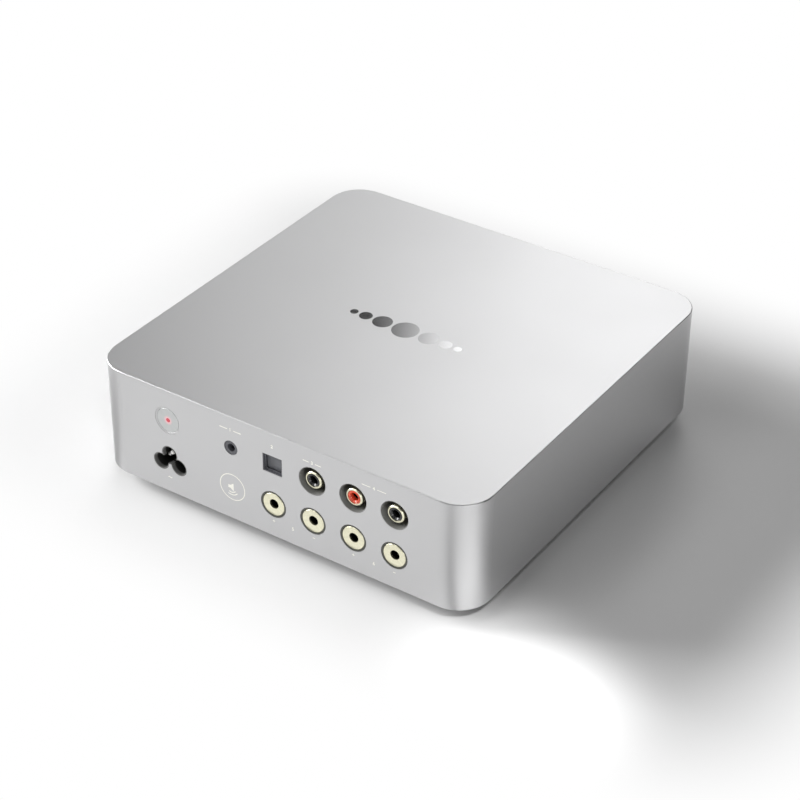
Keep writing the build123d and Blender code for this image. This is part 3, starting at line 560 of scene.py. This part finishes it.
wireLook = {
    "colour": (0.62, 0.2, 0.07), "metal": 1.0, "roughness": 0.28, "roughnessSpread": 0.06, "tone": 0.06,
    "grainScale": 900.0, "grainDepth": 0.00002, "grainStrength": 0.2, "patchScale": 110.0, "coat": 0.6,
    "along": (0.0, 0.0, 1.0), "pitch": 0.0009, "lineFrom": 0.0, "lineTo": 0.3,
    "lineColour": (0.12, 0.03, 0.01), "lineDepth": 0.0001,
}
wear(finishWrapped("enamelledWire", wireLook), "filter_choke")

sleeveLook = {
    "colour": (0.02, 0.022, 0.03), "roughness": 0.28, "roughnessSpread": 0.08, "tone": 0.12, "coat": 0.4,
    "grainScale": 800.0, "grainDepth": 0.00003, "grainStrength": 0.25, "patchScale": 50.0,
    "along": (1.0, 0.0, 0.0), "pitch": 0.0275, "lineFrom": 0.0, "lineTo": 0.05,
    "lineColour": (0.55, 0.56, 0.58), "lineDepth": 0.000005,
}
wear(finishWrapped("capacitorSleeve", sleeveLook), "bulk_capacitor", "reservoir_capacitors")

sinkLook = {
    "colour": (0.5, 0.5, 0.51), "metal": 1.0, "roughness": 0.42, "roughnessSpread": 0.08, "tone": 0.04,
    "grainScale": 1500.0, "grainDepth": 0.00003, "grainStrength": 0.3, "patchScale": 60.0,
    "along": (0.0, 0.0, 1.0), "pitch": 0.0007, "lineFrom": 0.0, "lineTo": 0.5,
    "lineColour": (0.44, 0.44, 0.45), "lineDepth": 0.00001,
}
wear(finishWrapped("drawnAluminium", sinkLook), "supply_heatsink", "amp_heatsink")

ceramicLook = {
    "colour": (0.78, 0.76, 0.7), "roughness": 0.45, "roughnessSpread": 0.1, "tone": 0.04, "coat": 0.2,
    "grainScale": 1200.0, "grainDepth": 0.00004, "grainStrength": 0.35, "patchScale": 180.0,
}
wear(finishPlain("fuseCeramic", ceramicLook), "fuse")

resinLook = {
    "colour": (0.03, 0.03, 0.032), "roughness": 0.6, "roughnessSpread": 0.1, "tone": 0.25,
    "grainScale": 1500.0, "grainDepth": 0.00008, "grainStrength": 0.5, "patchScale": 130.0,
}
wear(finishPlain("chipResin", resinLook), "amp_chips", "output_inductors")

leadLook = {
    "colour": (0.55, 0.03, 0.02), "roughness": 0.42, "roughnessSpread": 0.08, "tone": 0.08, "coat": 0.2,
    "grainScale": 900.0, "grainDepth": 0.00003, "grainStrength": 0.25, "patchScale": 90.0,
}
wear(finishPlain("leadSleeve", leadLook), "supply_lead")
print("inner finishes done")


# printed marks on the rear: plain numbers, signs and bars, drawn flat at the origin and then stood up
ink = {
    "colour": (0.95, 0.94, 0.86), "roughness": 0.55, "roughnessSpread": 0.1, "tone": 0.03,
    "grainScale": 2400.0, "grainDepth": 0.00002, "grainStrength": 0.3, "patchScale": 300.0,
    # the face of the wall, how far the ink stands out of it, and how much bolder the numbers are
    "face": cadBox[1][1], "rise": 0.00001, "bolder": 0.00007,
}
upperRow, lowerRow = 0.0559, 0.0165    # heights of the marks above and below the sockets
numbers = {
    # text, place along X, row, height of the letters' body
    "trigger": ("1", 0.0233, upperRow, 0.0023),
    "optical": ("2", 0.001, upperRow, 0.0023),
    "coax": ("3", -0.02, upperRow, 0.0023),
    "line": ("4", -0.0516, upperRow, 0.0023),
    "pairOne": ("5", -0.0092, lowerRow, 0.0023),
    "pairTwo": ("6", -0.0516, lowerRow, 0.0023),
    "plusOne": ("+", 0.001, lowerRow, 0.0026),
    "plusTwo": ("+", -0.041, lowerRow, 0.0026),
    "mains": ("~", 0.0586, lowerRow, 0.004),
}
bars = {
    # middle along X, row, length, width
    "triggerLeft": (0.0270, upperRow, 0.0042, 0.00045),
    "triggerRight": (0.0196, upperRow, 0.0042, 0.00045),
    "coaxLeft": (-0.0168, upperRow, 0.0032, 0.00045),
    "coaxRight": (-0.0232, upperRow, 0.0032, 0.00045),
    "lineLeft": (-0.0477, upperRow, 0.0045, 0.0004),
    "lineRight": (-0.0555, upperRow, 0.0045, 0.0004),
    "minusOne": (-0.0204, lowerRow, 0.0014, 0.00045),
    "minusTwo": (-0.0621, lowerRow, 0.0014, 0.00045),
}
barEnds = {"share": 0.45, "steps": 4}    # rounding of a bar's corners, by its width, and its steps
badge = {
    "x": 0.0233, "z": 0.0255, "radius": 0.0069, "line": 0.00042, "ringSides": 128,
    "boxWidth": 0.0012, "boxHeight": 0.0016, "coneLength": 0.0017, "coneSpread": 2.6, "shift": 0.0017,
    "waves": (0.0029, 0.0042), "waveLine": 0.00045, "waveTurn": 76.0, "waveSteps": 18,
    "waveBack": 0.0007, "weld": 0.000001,
}


def standOnRear(name, x, z):
    # turns the active flat mesh to face the rear and fixes its place in its mesh
    piece = bpy.context.active_object
    piece.name = name
    piece.rotation_euler = (math.pi / 2, 0.0, math.pi)
    piece.location = (x, ink["face"], z)
    bpy.ops.object.transform_apply(location=True, rotation=True, scale=True)
    return piece


def thicken():
    # gives the flat mesh in edit mode its thickness: the ink's rise above its plane and as much below
    bpy.ops.mesh.select_all(action="SELECT")
    bpy.ops.transform.translate(value=(0, 0, -ink["rise"]))
    bpy.ops.mesh.extrude_region_move(TRANSFORM_OT_translate={"value": (0, 0, 2 * ink["rise"])})
    bpy.ops.mesh.select_all(action="SELECT")
    bpy.ops.mesh.normals_make_consistent(inside=False)
    bpy.ops.object.mode_set(mode="OBJECT")


def printNumber(name, text, x, z, size):
    deselectAll()
    bpy.ops.object.text_add()
    words = bpy.context.active_object
    words.data.body = text
    words.data.size = size
    words.data.align_x = "CENTER"
    words.data.align_y = "CENTER"
    words.data.offset = ink["bolder"]
    words.data.extrude = ink["rise"]
    bpy.ops.object.convert(target="MESH")
    return standOnRear(name, x, z)


def printBar(name, x, z, length, width):
    deselectAll()
    bpy.ops.mesh.primitive_plane_add(size=1.0)
    bpy.ops.object.mode_set(mode="EDIT")
    bpy.ops.transform.resize(value=(length, width, 1.0))
    bpy.ops.mesh.bevel(offset=width * barEnds["share"], segments=barEnds["steps"], affect="VERTICES")
    thicken()
    return standOnRear(name, x, z)


def printRing(look):
    deselectAll()
    bpy.ops.mesh.primitive_circle_add(vertices=look["ringSides"], radius=look["radius"], fill_type="NGON")
    bpy.ops.object.mode_set(mode="EDIT")
    bpy.ops.mesh.inset(thickness=look["line"])
    bpy.ops.mesh.delete(type="FACE")
    thicken()
    return standOnRear("badgeRing", look["x"], look["z"])


def printHorn(look):
    # a plain loudspeaker sign: a small box whose one side opens into a cone
    deselectAll()
    bpy.ops.mesh.primitive_plane_add(size=1.0)
    bpy.ops.object.mode_set(mode="EDIT")
    bpy.ops.transform.resize(value=(look["boxWidth"], look["boxHeight"], 1.0))
    bpy.ops.object.mode_set(mode="OBJECT")
    mesh = bpy.context.active_object.data
    for edge in mesh.edges:
        edge.select = all(mesh.vertices[v].co.x > 0 for v in edge.vertices)
    for part in (*mesh.vertices, *mesh.polygons):
        part.select = False
    for edge in mesh.edges:
        if edge.select:
            for v in edge.vertices:
                mesh.vertices[v].select = True
    bpy.ops.object.mode_set(mode="EDIT")
    bpy.ops.mesh.select_mode(type="EDGE")
    bpy.ops.mesh.extrude_edges_move(TRANSFORM_OT_translate={"value": (look["coneLength"], 0, 0)})
    bpy.ops.transform.resize(value=(1.0, look["coneSpread"], 1.0))
    bpy.ops.mesh.select_all(action="SELECT")
    bpy.ops.transform.translate(value=(-look["shift"], 0, 0))
    thicken()
    return standOnRear("badgeHorn", look["x"], look["z"])


def printWave(name, look, radius):
    # one sound wave: a short radial edge swept round the mouth of the horn
    deselectAll()
    bpy.ops.mesh.primitive_plane_add(size=1.0)
    piece = bpy.context.active_object
    bpy.ops.object.mode_set(mode="EDIT")
    bpy.ops.mesh.select_all(action="SELECT")
    bpy.ops.mesh.delete(type="ONLY_FACE")
    bpy.ops.object.mode_set(mode="OBJECT")
    mesh = piece.data
    mesh.vertices.foreach_set("select", [v.co.y > 0 for v in mesh.vertices])
    bpy.ops.object.mode_set(mode="EDIT")
    bpy.ops.mesh.select_mode(type="VERT")
    bpy.ops.mesh.delete(type="VERT")
    # the edge that is left lies half a plane from the origin
    bpy.ops.mesh.select_all(action="SELECT")
    bpy.ops.transform.resize(value=(look["waveLine"], 0.0, 1.0))
    bpy.ops.transform.translate(value=(radius, 0.5, 0.0))
    half = math.radians(look["waveTurn"] / 2)
    bpy.ops.transform.rotate(value=half, orient_axis="Z", center_override=(0.0, 0.0, 0.0))
    bpy.ops.object.mode_set(mode="OBJECT")
    side = 1.0 if sum(v.co.y for v in mesh.vertices) < 0 else -1.0
    bpy.ops.object.mode_set(mode="EDIT")
    bpy.ops.mesh.select_all(action="SELECT")
    bpy.ops.mesh.spin(
        steps=look["waveSteps"], angle=side * 2 * half, center=(0.0, 0.0, 0.0), axis=(0.0, 0.0, 1.0),
    )
    bpy.ops.mesh.select_all(action="SELECT")
    bpy.ops.mesh.remove_doubles(threshold=look["weld"])
    mouth = look["coneLength"] - look["shift"]
    bpy.ops.transform.translate(value=(mouth - look["waveBack"], 0, 0))
    thicken()
    return standOnRear(name, look["x"], look["z"])


def printRearMarks():
    made = [printNumber(name + "Number", *place) for name, place in numbers.items()]
    made += [printBar(name + "Bar", *place) for name, place in bars.items()]
    made.append(printRing(badge))
    made.append(printHorn(badge))
    made += [printWave("badgeWave" + str(i), badge, radius) for i, radius in enumerate(badge["waves"])]
    deselectAll()
    for piece in made:
        piece.select_set(True)
    bpy.context.view_layer.objects.active = made[0]
    bpy.ops.object.join()
    marks = bpy.context.active_object
    marks.name = "rearMarks"
    marks.data.materials.clear()
    marks.data.materials.append(finishPlain("creamInk", ink))
    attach(marks, "chassis")


printRearMarks()
print("rear marks done")


# the studio; the way to a thing is its azimuth and elevation, in degrees, seen from its target
underTop = (0.0, 0.0, 0.06)    # just under the middle of the top


def wayTo(look):
    turn, rise = math.radians(look["azimuth"]), math.radians(look["elevation"])
    level = math.cos(rise)
    return Vector((level * math.cos(turn), level * math.sin(turn), math.sin(rise)))


def faceTarget(thing, look, target):
    # puts a thing at its distance from the target and turns it to face back
    way = wayTo(look)
    thing.location = look["distance"] * way + Vector(target)
    thing.rotation_euler = way.to_track_quat("Z", "Y").to_euler()


def newLamp(name, kind):
    lamp = bpy.data.lights.new(name, kind)
    holder = bpy.data.objects.new(name, lamp)
    bpy.context.scene.collection.objects.link(holder)
    return lamp, holder


softboxes = {
    "keyBox": {"azimuth": 19.0, "elevation": 20.0, "distance": 1.5, "size": (0.75, 1.0), "radiance": 13.6},
    "fillBox": {"azimuth": 148.0, "elevation": 11.0, "distance": 1.5, "size": (0.9, 0.55), "radiance": 3.0},
    # small and bright, for glints on the polished pieces
    "sparkBox": {
        "azimuth": 132.0, "elevation": 48.0, "distance": 1.3, "size": (0.16, 0.16), "radiance": 22.0,
    },
    "endBox": {"azimuth": -47.0, "elevation": 21.0, "distance": 1.5, "size": (0.36, 0.42), "radiance": 1.1},
    "edgeBox": {"azimuth": 70.0, "elevation": 44.0, "distance": 1.5, "size": (0.6, 0.5), "radiance": 2.9},
    "highBox": {"azimuth": -55.0, "elevation": 46.0, "distance": 1.5, "size": (0.45, 0.3), "radiance": 2.7},
}


def addSoftbox(name, look):
    wide, tall = look["size"]
    lamp, box = newLamp(name, "AREA")
    lamp.shape = "RECTANGLE"
    lamp.size, lamp.size_y = wide, tall
    lamp.energy = look["radiance"] * math.pi * wide * tall
    box.visible_camera = False
    faceTarget(box, look, underTop)


farCard = {
    "azimuth": -67.2, "elevation": 32.0, "distance": 1.5, "size": (0.6, 0.9), "radiance": 2.82, "soft": 0.295,
}


def addCard(name, look):
    # a plane that shines by itself, less and less towards its one edge
    deselectAll()
    wide, tall = look["size"]
    bpy.ops.mesh.primitive_plane_add(size=1.0)
    card = bpy.context.active_object
    card.name = name
    bpy.ops.object.mode_set(mode="EDIT")
    bpy.ops.transform.resize(value=(wide, tall, 1.0))
    bpy.ops.object.mode_set(mode="OBJECT")
    faceTarget(card, look, underTop)
    made = bpy.data.materials.new(name)
    made.use_nodes = True
    tree = made.node_tree
    share = rangeNode(tree, coordParts(tree)["X"], wide / 2, wide / 2 - look["soft"])
    glow = tree.nodes.new("ShaderNodeEmission")
    glow.inputs["Strength"].default_value = look["radiance"]
    tree.links.new(mixColours(tree, share, black, white), glow.inputs["Color"])
    linkOutput(tree, glow.outputs[0])
    card.data.materials.append(made)
    card.visible_camera = False


paper = {
    "colour": (0.88, 0.88, 0.88), "roughness": 0.9, "specular": 0.1, "size": 14.0,
    # the patch that doesn't shine by itself, and the width of its soft edge
    "patch": {"X": (-0.18, 0.14), "Y": (-0.14, 0.075)}, "patchEdge": 0.085,
}


def makeFloor(look):
    # plain paper: close to the amplifier it only shows the light that falls on it, and farther out it
    # shines white by itself for the eye, for metal and for glass
    deselectAll()
    bpy.ops.mesh.primitive_plane_add(size=look["size"], location=(0, 0, 0))
    floor = bpy.context.active_object
    floor.name = "studioFloor"
    made, tree, shader = newMaterial("palePaper", look)
    parts = coordParts(tree)
    past = []
    for axis, (low, high) in look["patch"].items():
        below = mathNode(tree, "SUBTRACT", low, parts[axis])
        above = mathNode(tree, "SUBTRACT", parts[axis], high)
        past.append(mathNode(tree, "MAXIMUM", mathNode(tree, "MAXIMUM", below, above), 0.0))
    square = mathNode(tree, "MULTIPLY", past[0], past[0])
    away = mathNode(tree, "SQRT", mathNode(tree, "MULTIPLY_ADD", past[1], past[1], square))
    shine = rangeNode(tree, away, 0.0, look["patchEdge"])
    path = tree.nodes.new("ShaderNodeLightPath")
    seen = mathNode(tree, "MAXIMUM", path.outputs["Is Camera Ray"], path.outputs["Is Glossy Ray"])
    seen = mathNode(tree, "MAXIMUM", seen, path.outputs["Is Transmission Ray"])
    glow = tree.nodes.new("ShaderNodeEmission")
    blend = tree.nodes.new("ShaderNodeMixShader")
    tree.links.new(mathNode(tree, "MULTIPLY", seen, shine), blend.inputs[0])
    tree.links.new(shader.outputs[0], blend.inputs[1])
    tree.links.new(glow.outputs[0], blend.inputs[2])
    linkOutput(tree, blend.outputs[0])
    floor.data.materials.append(made)


# grey cards on the paper, which draw soft dark lines down the rounded corners; each has its tip at a
# point beside a corner and widens along its azimuth
darkCards = {
    "nearDark": {
        "point": (-0.0945, 0.093, 0.001), "azimuth": 90.0, "size": (0.042, 0.105), "colour": (0.2, 0.2, 0.2),
    },
    "leftDark": {
        "point": (0.09, 0.094, 0.001), "azimuth": 12.0, "size": (0.09, 0.105), "colour": (0.35, 0.35, 0.35),
    },
    "endDark": {
        "point": (-0.098, -0.085, 0.001), "azimuth": 236.0, "size": (0.07, 0.12),
        "colour": (0.58, 0.58, 0.58),
    },
}


def addDarkCard(name, look):
    # a wedge; only metal and glass see it, so the paper stays clean for the eye
    deselectAll()
    wide, long = look["size"]
    bpy.ops.mesh.primitive_circle_add(vertices=3, radius=1.0, fill_type="NGON")
    card = bpy.context.active_object
    card.name = name
    # the triangle has sides of the root of 3 and a height of 1.5; its tip goes to the origin
    bpy.ops.object.mode_set(mode="EDIT")
    bpy.ops.transform.translate(value=(0.0, -1.0, 0.0))
    bpy.ops.transform.resize(value=(wide / math.sqrt(3), -long / 1.5, 1.0), center_override=(0.0, 0.0, 0.0))
    bpy.ops.object.mode_set(mode="OBJECT")
    card.location = look["point"]
    card.rotation_euler.z = math.radians(look["azimuth"] - 90)
    card.data.materials.append(newMaterial(name, {**paper, "colour": look["colour"]})[0])
    card.visible_camera = card.visible_shadow = card.visible_diffuse = False


pool = {
    "azimuth": 142.0, "elevation": 55.0, "distance": 1.2, "target": (-0.1365, 0.1315, 0.0),
    "beam": 5.5, "bulb": 0.02, "energy": 85.0,
}


def addPool(look):
    # a small soft pool of light on the paper in front of the nearest corner, which that corner mirrors
    lamp, spot = newLamp("poolLamp", "SPOT")
    lamp.spot_size = math.radians(look["beam"])
    lamp.spot_blend = 1.0
    lamp.shadow_soft_size = look["bulb"]
    lamp.energy = look["energy"]
    faceTarget(spot, look, look["target"])


roomColour = (0.03, 0.03, 0.03)


def makeWorld():
    # a dim room
    world = bpy.data.worlds.new("softRoom")
    bpy.context.scene.world = world
    world.use_nodes = True
    world.node_tree.nodes["Background"].inputs["Color"].default_value = (*roomColour, 1.0)


viewpoint = {
    "azimuth": 123.773481, "elevation": 34.032623, "distance": 1.023624,
    "target": (0.001811, 0.001211, 0.024731), "roll": 0.47842,
    "lens": 99.505, "sensor": 36.0, "nearest": 0.05, "farthest": 50.0,
}


def makeCamera(look):
    # stands behind the amplifier, on its -X side, and looks down at its sockets
    data = bpy.data.cameras.new("photoCamera")
    data.lens, data.sensor_width = look["lens"], look["sensor"]
    data.clip_start, data.clip_end = look["nearest"], look["farthest"]
    camera = bpy.data.objects.new("photoCamera", data)
    bpy.context.scene.collection.objects.link(camera)
    faceTarget(camera, look, look["target"])
    roll = Quaternion((0.0, 0.0, 1.0), math.radians(look["roll"]))
    camera.rotation_euler = (camera.rotation_euler.to_quaternion() @ roll).to_euler()
    bpy.context.scene.camera = camera


makeFloor(paper)
makeWorld()
for name, look in softboxes.items():
    addSoftbox(name, look)
addCard("farCard", farCard)
for name, look in darkCards.items():
    addDarkCard(name, look)
addPool(pool)
makeCamera(viewpoint)
bpy.context.scene.view_settings.view_transform = "Standard"
print("studio done")
